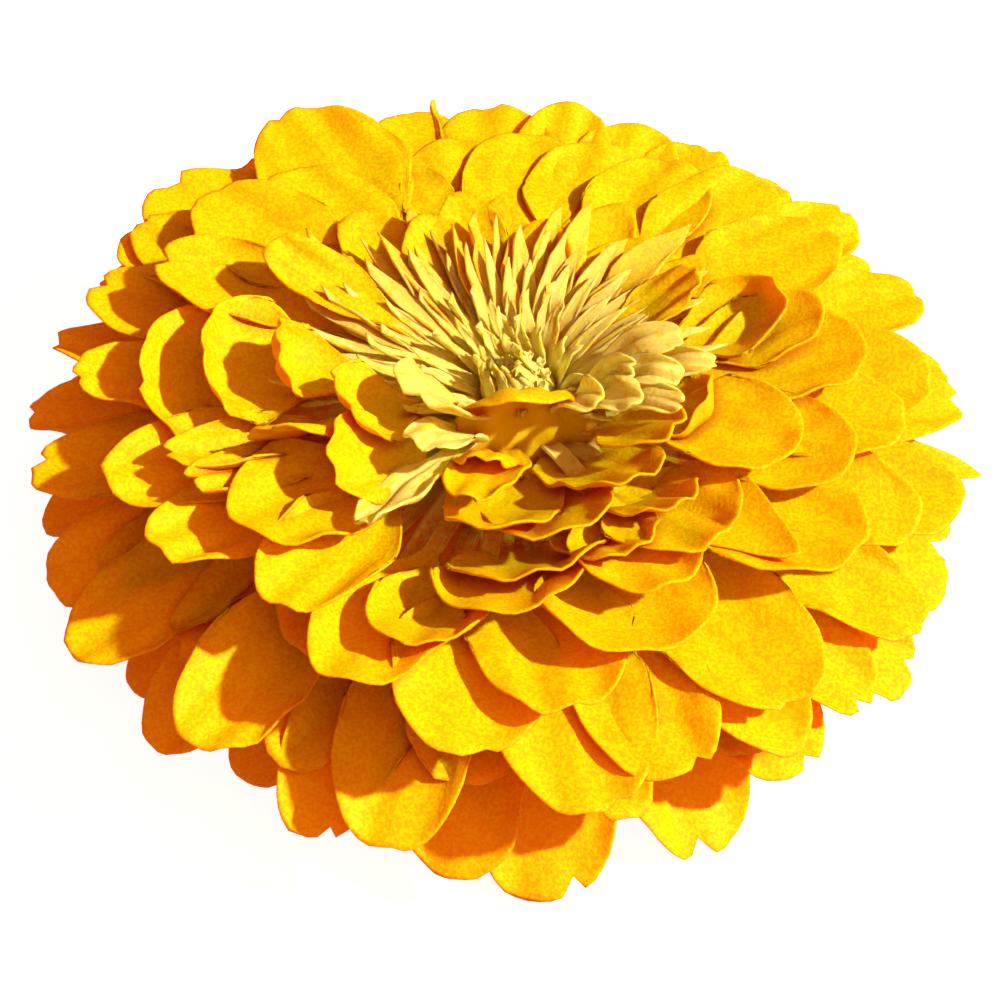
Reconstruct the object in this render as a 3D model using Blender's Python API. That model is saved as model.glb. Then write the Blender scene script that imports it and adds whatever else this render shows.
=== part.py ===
"""A double zinnia head, picked flush below its bracts and resting face up on the cut.

Units are metres, +Z is up, and the origin lies on the cut spot that the head rests on.
A petal's azimuth is measured from +X towards +Y, so the front of the head is at 270 degrees.
A petal's latitude says where its tip lies on the head: 0 is the top of the dome, 1 the widest
ring, and 2 the lower edge of the skirt that hangs below the ring.
"""
import math
import random
from collections import namedtuple

import bmesh
import bpy
import numpy as np

MM = 0.001

# The head's envelope: a dome over the widest ring, and a skirt that hangs below it
RING_RADIUS = 54.5 * MM
RING_HEIGHT = 20.0 * MM
DOME_RISE = 21.0 * MM
DOME_POWER = 2.3
SKIRT_DROP = 14.0 * MM
SKIRT_TUCK = 3.0 * MM

# The head nods towards the front, about a point in its neck
NOD_ANGLE = 5.0
NECK_HEIGHT = 14.0 * MM

# Blades: a narrow claw that widens to a broad rounded end
BLADE_THICKNESS = 0.8 * MM
CLAW_WIDTH = 2.4 * MM
CLAW_END = 0.42
SHOULDER_END = 0.70
ROUND_POWER = 2.6
ROUND_ROOT = 0.45
TAPER_START = 0.2
TAPER_ROOT = 0.5
TWIST_START = 0.15
NOTCH_START = 0.9
BLADE_STATIONS = (0.0, 0.42, 0.7, 0.9, 0.985)
BROAD_BLADE = 14.2
BROAD_STATIONS = (-1.0, 0.0, 1.0)
NARROW_STATIONS = (-1.0, 1.0)
SECTION_STEPS = 6
FLAT_ENOUGH = 0.5

# How the florets leave the cone and how they end, by latitude
ROOT_HEIGHT = ((0.0, 29.0 * MM), (0.5, 26.0 * MM), (1.0, 21.5 * MM), (2.2, 14.6 * MM))
ROOT_RADIUS = ((0.0, 4.0 * MM), (0.5, 5.0 * MM), (1.0, 6.5 * MM), (2.2, 8.0 * MM))
ROOT_RISE = ((0.0, 75.0), (0.3, 52.0), (0.6, 34.0), (1.0, 18.0), (1.5, 6.0), (2.2, -3.0))
TIP_PITCH = ((0.0, 65.0), (0.3, 34.0), (0.6, 20.0), (1.0, -6.0), (1.5, -27.0), (2.2, -45.0))

# The receptacle: a blunt cone, given as radius and height, whose top leans to the right
CONE_SIDES = 18
CROWN_SHIFT = 2.5 * MM
CONE_PROFILE = ((9.4 * MM, 10.8 * MM), (13.5 * MM, 13.5 * MM), (14.5 * MM, 17.5 * MM),
                (12.5 * MM, 22.5 * MM), (8.5 * MM, 27.0 * MM), (4.6 * MM, 29.6 * MM))

# The involucre: a bowl of fused bract bases below the cone, given as radius and height
BOWL_SIDES = 24
BOWL_PROFILE = ((6.6 * MM, -3.0 * MM), (7.4 * MM, 1.0 * MM), (9.6 * MM, 4.5 * MM),
                (11.6 * MM, 8.0 * MM), (12.2 * MM, 10.0 * MM), (10.6 * MM, 10.5 * MM))
BRACT_THICKNESS = 0.9 * MM
BRACT_EDGE = 0.8
BRACT_WIDEST = 0.35
BRACT_POWER = 2.2
BRACT_STATIONS = (0.0, 0.45, 0.8, 0.98)
BractRow = namedtuple("BractRow", "count start_radius start_height end_radius end_height width turn")
BRACT_ROWS = (
    BractRow(9, 6.9 * MM, 1.9 * MM, 10.8 * MM, 4.9 * MM, 5.6 * MM, 0.0),
    BractRow(12, 8.6 * MM, 3.6 * MM, 13.0 * MM, 8.2 * MM, 6.6 * MM, 0.5),
    BractRow(14, 10.4 * MM, 6.6 * MM, 15.2 * MM, 11.4 * MM, 7.2 * MM, 0.0),
)

# The disc florets on the cone's top
DISC_RADIUS = 2.6 * MM
DISC_BASE = 29.9 * MM
DISC_THICKNESS = 1.0 * MM
DISC_SIDES = 14
FLORET_RINGS = ((1, 0.0, 3.2 * MM), (6, 1.9 * MM, 2.8 * MM))
FLORET_STAGES = ((0.0, 0.35 * MM), (0.6, 0.35 * MM), (1.0, 0.6 * MM))
FLORET_ROOT = 0.4
FLORET_SIDES = 5
FLORET_LEAN = 22.0

Petal = namedtuple(
    "Petal",
    "azimuth latitude width cup pitch yaw twist out lift taper notch rise low early",
    defaults=(14.0, 50.0, 0.0, 0.0, 0.0, 0.0, 0.0, 0.0, 0.0, 0.0, 0.0, 0.0),
)

# The florets in front and at the sides whose tips hang below the widest ring
SKIRT = (
    Petal(186, 1.50, 12), Petal(200, 1.25, 14, cup=30), Petal(211, 1.10, 15, cup=40, out=1),
    Petal(214, 1.75, 13, out=-3), Petal(224, 1.45, 13), Petal(236, 1.72, 12, out=-4),
    Petal(247, 1.40, 15, cup=70), Petal(257, 1.20, 17, cup=75), Petal(265, 1.65, 16),
    Petal(276, 2.15, 18, out=2, lift=1, notch=1), Petal(297, 2.05, 17, out=1, notch=1),
    Petal(308, 1.30, 15), Petal(326, 1.30, 15, out=1), Petal(338, 1.20, 15),
    Petal(344, 1.30, 10, taper=0.6), Petal(350, 1.40, 9, out=-1), Petal(356, 1.15, 12, cup=80, out=2, taper=0.8),
)

# The florets that reach the widest ring
RING = (
    Petal(233, 0.95, 15, cup=80), Petal(188, 0.92, 12), Petal(175, 1.00, 13, cup=70, out=1),
    Petal(165, 0.92, 10), Petal(167, 1.25, 9, out=-1), Petal(153, 0.95, 11, out=-1),
    Petal(161, 0.75, 13, cup=100, pitch=5), Petal(178, 0.68, 12, pitch=10),
    Petal(150, 0.80, 13, cup=80), Petal(130, 0.90, 10, out=-2), Petal(266, 0.72, 18, cup=45),
    Petal(281, 0.90, 18, cup=40), Petal(291, 0.85, 16, cup=40), Petal(306, 0.95, 14),
    Petal(309, 0.80, 17, cup=40), Petal(318, 1.00, 14), Petal(328, 0.95, 14),
    Petal(346, 0.90, 15), Petal(5, 0.95, 13), Petal(2, 0.70, 17), Petal(20, 0.85, 14),
    Petal(13, 1.08, 12), Petal(38, 0.90, 14), Petal(46, 0.95, 12, out=-2),
    Petal(30, 1.00, 12, out=-1),
)

# The florets along the back, where the dome is lower
BACK_RIM = (
    Petal(140, 0.82, 20, cup=30, out=2), Petal(120, 0.78, 18, cup=20, out=1, lift=1, pitch=-6),
    Petal(111, 0.80, 12, cup=20, lift=-3), Petal(103, 0.75, 15, cup=20, lift=-4, pitch=-8),
    Petal(100, 0.84, 4, twist=70, lift=-2), Petal(91, 0.76, 17, cup=20, lift=-4, pitch=-8),
    Petal(79, 0.76, 14, cup=40, lift=-3, pitch=-4), Petal(69, 0.77, 15, cup=20, lift=-4, pitch=-6),
    Petal(60, 0.80, 15, cup=20, lift=-4, pitch=-6), Petal(50, 0.85, 15, cup=30, lift=-4),
    Petal(128, 0.80, 12, lift=-3), Petal(149, 0.75, 12),
)

# The florets on the dome's shoulder
SHOULDER = (
    Petal(293, 0.55, 21, cup=60, pitch=10), Petal(279, 0.62, 18, cup=35),
    Petal(249, 0.60, 17, cup=45, pitch=8), Petal(257, 0.50, 15, cup=80, pitch=18, rise=-20),
    Petal(222, 0.44, 18, cup=50), Petal(235, 0.52, 14, cup=60),
    Petal(214, 0.59, 13, cup=50), Petal(200, 0.61, 14, cup=60), Petal(202, 0.48, 9, cup=110, pitch=12),
    Petal(208, 0.46, 8, cup=60, pitch=10), Petal(326, 0.62, 19, cup=40), Petal(350, 0.62, 15, pitch=-12),
    Petal(337, 0.72, 15, pitch=-8), Petal(341, 0.52, 14), Petal(182, 0.50, 24, cup=80, pitch=50),
    Petal(319, 0.53, 17, cup=110, taper=1), Petal(3, 0.52, 17, cup=60, pitch=-5),
    Petal(10, 0.45, 10, cup=60, pitch=20), Petal(30, 0.60, 15, cup=30, lift=-1, pitch=-16),
    Petal(45, 0.62, 15, cup=30, lift=-3, pitch=-18), Petal(58, 0.55, 15, cup=20, lift=-5, pitch=-20),
    Petal(72, 0.55, 15, cup=20, lift=-6, pitch=-20), Petal(86, 0.54, 15, cup=20, lift=-6, pitch=-20),
    Petal(99, 0.52, 15, cup=20, lift=-6, pitch=-20), Petal(113, 0.52, 15, cup=20, lift=-6, pitch=-20),
    Petal(128, 0.55, 15, cup=20, lift=-4, pitch=-16), Petal(142, 0.60, 15, cup=40, lift=-1, pitch=-8),
    Petal(158, 0.55, 14, cup=80),
)

# The florets round the middle: curled, rolled and twisted ones at the left and in front
INNER = (
    Petal(269, 0.29, 11, cup=50, pitch=20, rise=-45), Petal(284, 0.31, 13, cup=60, pitch=18, rise=-45),
    Petal(277, 0.37, 18, cup=60, pitch=20, rise=-40), Petal(273, 0.43, 18, cup=60, pitch=16, rise=-35),
    Petal(308, 0.27, 10, cup=50, pitch=15, rise=-40), Petal(310, 0.34, 12, cup=50, pitch=15, rise=-30),
    Petal(296, 0.37, 12, cup=60, pitch=14, rise=-35), Petal(312, 0.42, 17, cup=60, pitch=12, rise=-15),
    Petal(300, 0.45, 15, cup=60, pitch=10), Petal(180, 0.38, 20, cup=60, pitch=50),
    Petal(183, 0.30, 12, cup=90, pitch=50), Petal(206, 0.33, 11, cup=-60, twist=65),
    Petal(226, 0.28, 12, cup=40, pitch=15, twist=-40), Petal(208, 0.20, 13, cup=60, pitch=40),
    Petal(226, 0.13, 12, cup=60, pitch=-5, rise=-20, early=0.15),
    Petal(250, 0.20, 10, cup=40, pitch=-25, rise=-30, early=0.1),
    Petal(242, 0.33, 7, twist=30),
    Petal(276, 0.13, 19, cup=-50, pitch=-40, rise=15, lift=3, low=0.8, early=0.4),
    Petal(263, 0.17, 8, cup=-90, pitch=-20, rise=5, lift=-2, low=0.9, early=0.35),
    Petal(325, 0.17, 10, cup=40, pitch=-45, rise=-15, early=0.15),
    Petal(341, 0.31, 12, cup=140, pitch=30), Petal(337, 0.42, 15, cup=70, pitch=-8),
    Petal(325, 0.25, 10, cup=60), Petal(337, 0.23, 9, cup=40, pitch=-42),
    Petal(14, 0.38, 12, cup=80, pitch=45), Petal(22, 0.26, 7, cup=60, pitch=10), Petal(150, 0.34, 8, cup=60),
    Petal(350, 0.21, 8, cup=50, pitch=-35),
)

# The lower florets at the back and under the sides, and the small yellow and narrow pale ones
# at the back of the middle, placed by rule: every floret of a row differs a little
Row = namedtuple("Row", "latitude widening out lift first last count width taper")
ROWS = (
    Row(1.40, 0.0, -3, -1, 22, 150, 5, 14, 0.0),
    Row(1.65, 0.0, -3, 0, 20, 155, 4, 14, 0.0),
    Row(1.90, 0.0, -4, 0, 20, 180, 4, 14, 0.0),
    Row(0.27, 0.10, 0, -5, 30, 145, 5, 9.0, 0.2),
    Row(0.16, 0.14, 0, -4, -5, 185, 6, 3.0, 0.8),
)
ROW_SPREAD = 0.2
AZIMUTH_SPREAD = 2.0
SEED = 7

# The finish of each node: its colour and how rough it is
PETAL_COLOUR = (0.9, 0.55, 0.0)
PETAL_ROUGHNESS = 0.55
BRACT_COLOUR = (0.18, 0.26, 0.06)
FLORET_COLOUR = (0.62, 0.55, 0.16)
GREEN_ROUGHNESS = 0.6


def by_latitude(latitude, table):
    """The value of a table of (latitude, value) pairs at one latitude."""
    return float(np.interp(latitude, [row[0] for row in table], [row[1] for row in table]))


def smooth(low, high, value):
    """0 below low, 1 above high, and an even ramp between."""
    share = min(1.0, max(0.0, (value - low) / (high - low)))
    return share * share * (3.0 - 2.0 * share)


def direction(azimuth, pitch=0.0):
    """The unit vector at an azimuth and a pitch in degrees."""
    a, p = math.radians(azimuth), math.radians(pitch)
    return np.array([math.cos(a) * math.cos(p), math.sin(a) * math.cos(p), math.sin(p)])


def envelope(latitude):
    """The head's radius and height at a latitude."""
    if latitude <= 1.0:
        angle = latitude * math.pi / 2.0
        radius = RING_RADIUS * math.sin(angle) ** (2.0 / DOME_POWER)
        return radius, RING_HEIGHT + DOME_RISE * math.cos(angle) ** (2.0 / DOME_POWER)
    below = latitude - 1.0
    return RING_RADIUS - SKIRT_TUCK * below * below, RING_HEIGHT - SKIRT_DROP * below


def lean(height):
    """How far the middle of the receptacle lies to the right at a height."""
    low, high = CONE_PROFILE[0][1], CONE_PROFILE[-1][1]
    return CROWN_SHIFT * min(1.0, max(0.0, (height - low) / (high - low))) ** 2


def nod(point):
    """Tip a point of the upright head towards the front."""
    a = math.radians(NOD_ANGLE)
    x, y, z = point[0], point[1], point[2] - NECK_HEIGHT
    return (x, y * math.cos(a) - z * math.sin(a), NECK_HEIGHT + y * math.sin(a) + z * math.cos(a))


def half_width(petal, along):
    """Half of a blade's width at a share of its length."""
    half = petal.width * MM / 2.0
    claw = min(1.0, CLAW_WIDTH / 2.0 / half)
    body = claw + (1.0 - claw) * smooth(CLAW_END - petal.early, SHOULDER_END - petal.early, along)
    round_start = SHOULDER_END - TAPER_START * petal.taper
    end = max(0.0, (along - round_start) / (1.0 - round_start))
    rounding = (1.0 - end ** (ROUND_POWER - petal.taper)) ** (ROUND_ROOT + TAPER_ROOT * petal.taper)
    return half * body * rounding


class Centreline:
    """The curve that a floret's middle follows from the cone, at t = 0, to its tip, at t = 1."""

    def __init__(self, petal):
        radius, height = envelope(petal.latitude)
        root_latitude = petal.latitude + petal.low
        self.root = direction(petal.azimuth) * by_latitude(root_latitude, ROOT_RADIUS)
        self.root[2] = by_latitude(root_latitude, ROOT_HEIGHT)
        self.root[0] += lean(self.root[2])
        self.tip = direction(petal.azimuth) * (radius + petal.out * MM)
        self.tip[2] = height + petal.lift * MM
        chord = np.linalg.norm(self.tip - self.root)
        rise = by_latitude(petal.latitude, ROOT_RISE) + petal.rise
        pitch = by_latitude(petal.latitude, TIP_PITCH) + petal.pitch
        self.leave = direction(petal.azimuth, rise) * chord
        self.arrive = direction(petal.azimuth + petal.yaw, pitch) * chord

    def place(self, t):
        """The curve's point at t."""
        return ((2 * t**3 - 3 * t**2 + 1) * self.root + (t**3 - 2 * t**2 + t) * self.leave
                + (3 * t**2 - 2 * t**3) * self.tip + (t**3 - t**2) * self.arrive)

    def heading(self, t):
        """The unit vector along the curve at t."""
        slope = (6 * (t * t - t) * (self.root - self.tip) + (3 * t * t - 4 * t + 1) * self.leave
                 + (3 * t * t - 2 * t) * self.arrive)
        return slope / np.linalg.norm(slope)


def blade_point(petal, line, along, across):
    """A point of a blade's upper face and the face's normal there, in the upright head."""
    ahead = line.heading(along)
    side = direction(petal.azimuth + petal.yaw * smooth(0.0, 1.0, along) + 90.0)
    side -= ahead * (side @ ahead)
    side /= np.linalg.norm(side)
    up = np.cross(ahead, side)
    turn = math.radians(petal.twist) * smooth(TWIST_START, 1.0, along)
    side, up = side * math.cos(turn) + up * math.sin(turn), up * math.cos(turn) - side * math.sin(turn)
    half = half_width(petal, along)
    bend = math.radians(petal.cup) / 2.0
    point = line.place(along)
    for step in range(SECTION_STEPS):
        angle = bend * across * (step + 0.5) / SECTION_STEPS
        run = half * across / SECTION_STEPS
        point = point + side * (run * math.cos(angle)) + up * (run * math.sin(angle))
    if across == 0.0:
        point = point - ahead * (petal.notch * MM * smooth(NOTCH_START, 1.0, along))
    edge = bend * across
    return point, up * math.cos(edge) - side * math.sin(edge)


def mesh_object(name, points, faces):
    """A mesh object of points and faces in the scene."""
    mesh = bpy.data.meshes.new(name)
    mesh.from_pydata([tuple(point) for point in points], [], faces)
    piece = bpy.data.objects.new(name, mesh)
    bpy.context.scene.collection.objects.link(piece)
    return piece


def sheet_solid(name, upper, lower):
    """A closed solid between two like grids of points, split into triangles alike."""
    rows, columns = len(upper), len(upper[0])
    points = [point for grid in (upper, lower) for row in grid for point in row]
    half = rows * columns
    faces = []
    for i in range(rows - 1):
        for j in range(columns - 1):
            a = i * columns + j
            b, c, d = a + 1, a + columns + 1, a + columns
            faces += [(a, c, b), (a, d, c)]
            faces += [(a + half, b + half, c + half), (a + half, c + half, d + half)]
    border = list(range(columns))
    border += [i * columns + columns - 1 for i in range(1, rows)]
    border += [(rows - 1) * columns + j for j in range(columns - 2, -1, -1)]
    border += [i * columns for i in range(rows - 2, 0, -1)]
    for a, b in zip(border, border[1:] + border[:1]):
        faces += [(a, b, b + half), (a, b + half, a + half)]
    return mesh_object(name, points, faces)


def ringed_solid(name, points, sides):
    """A closed solid through rings of points, lowest first."""
    last = len(points) - sides
    faces = [tuple(range(sides))[::-1], tuple(range(last, last + sides))]
    for start in range(0, last, sides):
        for k in range(sides):
            a, b = start + k, start + (k + 1) % sides
            faces.append((a, b, b + sides, a + sides))
    return mesh_object(name, points, faces)


def petal_solid(petal):
    """One floret's blade as a thin closed solid, its root inside the cone."""
    line = Centreline(petal)
    upper, lower = [], []
    stations = BROAD_STATIONS if petal.width > BROAD_BLADE else NARROW_STATIONS
    for along in BLADE_STATIONS:
        row = [blade_point(petal, line, along, across) for across in stations]
        upper.append([nod(point) for point, normal in row])
        lower.append([nod(point - normal * BLADE_THICKNESS) for point, normal in row])
    return sheet_solid("blade", upper, lower)


def turned_solid(name, profile, sides):
    """A closed solid turned from (radius, height) pairs about the receptacle's leaning middle."""
    points = []
    for radius, height in profile:
        middle = np.array([lean(height), 0.0, height])
        points += [nod(middle + direction(360.0 * k / sides) * radius) for k in range(sides)]
    return ringed_solid(name, points, sides)


def fuse(body, others):
    """Join a body with all the others by one Boolean union, and remove the others."""
    group = bpy.data.collections.new("to_fuse")
    bpy.context.scene.collection.children.link(group)
    for other in others:
        bpy.context.scene.collection.objects.unlink(other)
        group.objects.link(other)
    union = body.modifiers.new("Union", "BOOLEAN")
    union.operation = "UNION"
    union.operand_type = "COLLECTION"
    union.collection = group
    union.solver = "MANIFOLD"
    bpy.context.view_layer.update()
    evaluated = body.evaluated_get(bpy.context.evaluated_depsgraph_get())
    fused = bpy.data.meshes.new_from_object(evaluated)
    body.modifiers.clear()
    body.data = fused
    for other in others:
        bpy.data.objects.remove(other)
    bpy.data.collections.remove(group)
    return body


def keep_largest_body(piece):
    """Drop the loose scraps that a union can leave, and join the triangles that lie in one plane."""
    mesh = bmesh.new()
    mesh.from_mesh(piece.data)
    left = set(mesh.verts)
    bodies = []
    while left:
        body = {left.pop()}
        front = list(body)
        while front:
            for edge in front.pop().link_edges:
                for vertex in edge.verts:
                    if vertex in left:
                        left.discard(vertex)
                        body.add(vertex)
                        front.append(vertex)
        bodies.append(body)
    largest = max(bodies, key=len)
    scraps = [vertex for vertex in mesh.verts if vertex not in largest]
    bmesh.ops.delete(mesh, geom=scraps, context="VERTS")
    limit = math.radians(FLAT_ENOUGH)
    bmesh.ops.dissolve_limit(mesh, angle_limit=limit, verts=mesh.verts, edges=mesh.edges)
    bmesh.ops.triangulate(mesh, faces=mesh.faces)
    mesh.to_mesh(piece.data)
    mesh.free()


def finish(piece, name, colour, roughness):
    """Name a piece after its node and give it its own material."""
    piece.name = name
    piece.data.name = name
    material = bpy.data.materials.new(name)
    material.use_nodes = True
    shader = material.node_tree.nodes["Principled BSDF"]
    shader.inputs["Base Color"].default_value = (*colour, 1.0)
    shader.inputs["Roughness"].default_value = roughness
    shader.inputs["Metallic"].default_value = 0.0
    piece.data.materials.clear()
    piece.data.materials.append(material)
    return piece


def row_petals(draw):
    """The florets that are placed by rule."""
    petals = []
    for row in ROWS:
        for k in range(row.count):
            azimuth = row.first + (row.last - row.first) * (k + 0.5) / row.count
            azimuth += draw.uniform(-AZIMUTH_SPREAD, AZIMUTH_SPREAD)
            latitude = row.latitude * draw.uniform(1.0 - ROW_SPREAD, 1.0 + ROW_SPREAD)
            latitude += row.widening * math.cos(math.radians(azimuth)) ** 2
            petals.append(Petal(azimuth, latitude, row.width, out=row.out, lift=row.lift, taper=row.taper))
    return petals


def make_petals():
    """The ray florets in their layers, fused to the cone that they grow from."""
    cone = turned_solid("cone", CONE_PROFILE, CONE_SIDES)
    placed = list(SKIRT + RING + BACK_RIM + SHOULDER + INNER)
    blades = [petal_solid(petal) for petal in placed + row_petals(random.Random(SEED))]
    fuse(cone, blades)
    keep_largest_body(cone)
    return finish(cone, "petals", PETAL_COLOUR, PETAL_ROUGHNESS)


def bract_solid(row, azimuth):
    """One rounded bract that lies along the bowl and stands clear at its tip."""
    start = np.array([row.start_radius, row.start_height])
    end = np.array([row.end_radius, row.end_height])
    along_bowl = (end - start) / np.linalg.norm(end - start)
    outward = np.array([along_bowl[1], -along_bowl[0]])
    upper, lower = [], []
    for along in BRACT_STATIONS:
        radius, height = start + (end - start) * along
        end_share = max(0.0, (along - BRACT_WIDEST) / (1.0 - BRACT_WIDEST))
        half = row.width / 2.0 * math.sqrt(1.0 - end_share**BRACT_POWER)
        inside, outside = [], []
        for across in BROAD_STATIONS:
            spoke = direction(azimuth + math.degrees(across * half / radius))
            push = outward * BRACT_THICKNESS * (1.0 if across == 0.0 else BRACT_EDGE)
            inner = spoke * radius
            inner[2] = height
            outer = spoke * (radius + push[0])
            outer[2] = height + push[1]
            inside.append(nod(inner))
            outside.append(nod(outer))
        upper.append(inside)
        lower.append(outside)
    return sheet_solid("bract", upper, lower)


def cut_flat(piece):
    """Cut a piece off at the surface that it rests on."""
    mesh = bmesh.new()
    mesh.from_mesh(piece.data)
    everything = list(mesh.verts) + list(mesh.edges) + list(mesh.faces)
    cut = bmesh.ops.bisect_plane(mesh, geom=everything, plane_co=(0.0, 0.0, 0.0), plane_no=(0.0, 0.0, 1.0),
                                 clear_inner=True)
    rim = [part for part in cut["geom_cut"] if isinstance(part, bmesh.types.BMEdge)]
    bmesh.ops.contextual_create(mesh, geom=rim)
    bmesh.ops.recalc_face_normals(mesh, faces=mesh.faces)
    mesh.to_mesh(piece.data)
    mesh.free()


def make_calyx():
    """The involucre: a bowl with rows of overlapping bracts, cut off flush below."""
    bowl = turned_solid("bowl", BOWL_PROFILE, BOWL_SIDES)
    cut_flat(bowl)
    bracts = []
    for row in BRACT_ROWS:
        for k in range(row.count):
            bracts.append(bract_solid(row, 360.0 * (k + row.turn) / row.count))
    fuse(bowl, bracts)
    keep_largest_body(bowl)
    return finish(bowl, "calyx", BRACT_COLOUR, GREEN_ROUGHNESS)


def floret_solid(azimuth, distance, height):
    """One small tubular disc floret that leans outward and widens to its mouth."""
    base = direction(azimuth) * distance
    base[2] = DISC_BASE + DISC_THICKNESS * FLORET_ROOT
    base[0] += lean(base[2])
    axis = direction(azimuth, 90.0 - FLORET_LEAN * distance / DISC_RADIUS)
    side = direction(azimuth + 90.0)
    front = np.cross(side, axis)
    points = []
    for share, radius in FLORET_STAGES:
        for k in range(FLORET_SIDES):
            a = 2.0 * math.pi * k / FLORET_SIDES
            spoke = front * math.cos(a) + side * math.sin(a)
            points.append(nod(base + axis * height * share + spoke * radius))
    return ringed_solid("floret", points, FLORET_SIDES)


def make_centre():
    """The disc florets, fused to the small pad that they stand on."""
    profile = ((DISC_RADIUS, DISC_BASE), (DISC_RADIUS, DISC_BASE + DISC_THICKNESS))
    pad = turned_solid("pad", profile, DISC_SIDES)
    florets = []
    for count, distance, height in FLORET_RINGS:
        for k in range(count):
            florets.append(floret_solid(360.0 * k / count, distance, height))
    fuse(pad, florets)
    keep_largest_body(pad)
    return finish(pad, "centre", FLORET_COLOUR, GREEN_ROUGHNESS)


def main():
    for piece in list(bpy.data.objects):
        bpy.data.objects.remove(piece)
    make_petals()
    make_calyx()
    make_centre()


main()
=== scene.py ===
"""The looks of a double zinnia head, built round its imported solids.

Units are metres, +Z is up, and the origin lies on the cut spot that the head rests on.
A petal's azimuth is measured from +X towards +Y, so the front of the head is at 270 degrees.
A petal's latitude says where its tip lies on the head: 0 is the top of the dome, 1 the widest
ring, and 2 the lower edge of the skirt that hangs below the ring.
A place on a blade is given by along, from 0 at its root to 1 at its tip, and across, from -1 at
its right edge to 1 at its left edge, seen from the root with the upper face up.
"""

import math
import random
from collections import namedtuple

import bmesh
import bpy
import numpy as np
from mathutils import Matrix, Vector


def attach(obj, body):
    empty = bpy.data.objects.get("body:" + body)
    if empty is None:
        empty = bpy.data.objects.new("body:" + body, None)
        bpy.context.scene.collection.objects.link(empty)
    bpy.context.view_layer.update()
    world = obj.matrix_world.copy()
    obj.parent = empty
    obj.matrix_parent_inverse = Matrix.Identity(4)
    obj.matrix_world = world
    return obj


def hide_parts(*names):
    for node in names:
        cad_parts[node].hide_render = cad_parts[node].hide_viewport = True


MM = 0.001

# The head's envelope: a dome over the widest ring, and a skirt that hangs below it
RING_RADIUS = 54.5 * MM
RING_HEIGHT = 20.0 * MM
DOME_RISE = 21.0 * MM
DOME_POWER = 2.3
SKIRT_DROP = 14.0 * MM
SKIRT_TUCK = 3.0 * MM

# The head nods towards the front, about a point in its neck
NOD_ANGLE = 5.0
NECK_HEIGHT = 14.0 * MM

# A blade's outline, as shares of its length
CLAW_WIDTH = 2.2 * MM
CLAW_END = 0.42
SHOULDER_END = 0.70
END_SHARE = 0.30
END_POWER = 2.3
TAPER_SHARE = 0.25

# A blade's section and surface
BLADE_THICKNESS = 0.34 * MM
RIM_THICKNESS = 0.16 * MM
CURL_START = 0.55
GROOVE_PLACE = 0.36
GROOVE_WIDTH = 0.09
GROOVE_DEPTH = 0.32 * MM
RIDGES_ACROSS = 5.0
RIDGE_HEIGHT = 0.035 * MM
WAVE_HEIGHT = 0.42 * MM
RUFFLE_HEIGHT = 0.30 * MM
CRUMPLE_HEIGHT = 1.0 * MM
RAGGED_END = 0.009
RAGGED_SIDE = 0.03

# How finely blades are made
LINE_STEPS = 61
SECTION_STEPS = 41
FINE_GRID = (38, 23)
PLAIN_GRID = (18, 11)

# How the florets leave the cone and how they end, by latitude
ROOT_HEIGHT = ((0.0, 29.0 * MM), (0.5, 26.0 * MM), (1.0, 21.5 * MM), (2.2, 14.6 * MM))
ROOT_RADIUS = ((0.0, 4.0 * MM), (0.5, 5.0 * MM), (1.0, 6.5 * MM), (2.2, 8.0 * MM))
ROOT_RISE = ((0.0, 75.0), (0.3, 52.0), (0.6, 34.0), (1.0, 18.0), (1.5, 6.0), (2.2, -3.0))
TIP_PITCH = ((0.0, 65.0), (0.3, 34.0), (0.6, 20.0), (1.0, -6.0), (1.5, -27.0), (2.2, -45.0))

# The receptacle: a blunt cone, given as radius and height, whose top leans to the right
CONE_SIDES = 48
CROWN_SHIFT = 2.5 * MM
CONE_PROFILE = ((9.4 * MM, 10.8 * MM), (13.5 * MM, 13.5 * MM), (14.5 * MM, 17.5 * MM),
                (12.5 * MM, 22.5 * MM), (8.5 * MM, 27.0 * MM), (4.6 * MM, 29.6 * MM))

# The involucre: a bowl below the cone, and its rows of bracts
BOWL_SIDES = 48
BOWL_PROFILE = ((6.6 * MM, -3.0 * MM), (7.4 * MM, 1.0 * MM), (9.6 * MM, 4.5 * MM),
                (11.6 * MM, 8.0 * MM), (12.2 * MM, 10.0 * MM), (10.6 * MM, 10.5 * MM))
BRACT_GRID = (16, 11)
BRACT_THICKNESS = 0.5 * MM
BRACT_STAND = 0.55 * MM
BRACT_ROUND = 0.45
BractRow = namedtuple("BractRow", "count start_radius start_height end_radius end_height width turn")
BRACT_ROWS = (
    BractRow(9, 6.9 * MM, 1.9 * MM, 10.8 * MM, 4.9 * MM, 5.6 * MM, 0.0),
    BractRow(12, 8.6 * MM, 3.6 * MM, 13.0 * MM, 8.2 * MM, 6.6 * MM, 0.5),
    BractRow(14, 10.4 * MM, 6.6 * MM, 15.2 * MM, 11.4 * MM, 7.2 * MM, 0.0),
)

# The disc florets and the chaffy scales between them, on a pad on the cone's top
DISC_RADIUS = 2.6 * MM
DISC_BASE = 29.9 * MM
DISC_THICKNESS = 1.0 * MM
DISC_SIDES = 40
FLORET_RINGS = ((1, 0.0, 3.2 * MM), (5, 1.1 * MM, 3.0 * MM), (10, 2.1 * MM, 2.6 * MM))
FLORET_BASE_RADIUS = 0.3 * MM
FLORET_MOUTH_RADIUS = 0.55 * MM
FLORET_SIDES = 20
FLORET_TEETH = 5
FLORET_LEAN = 22.0

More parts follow.
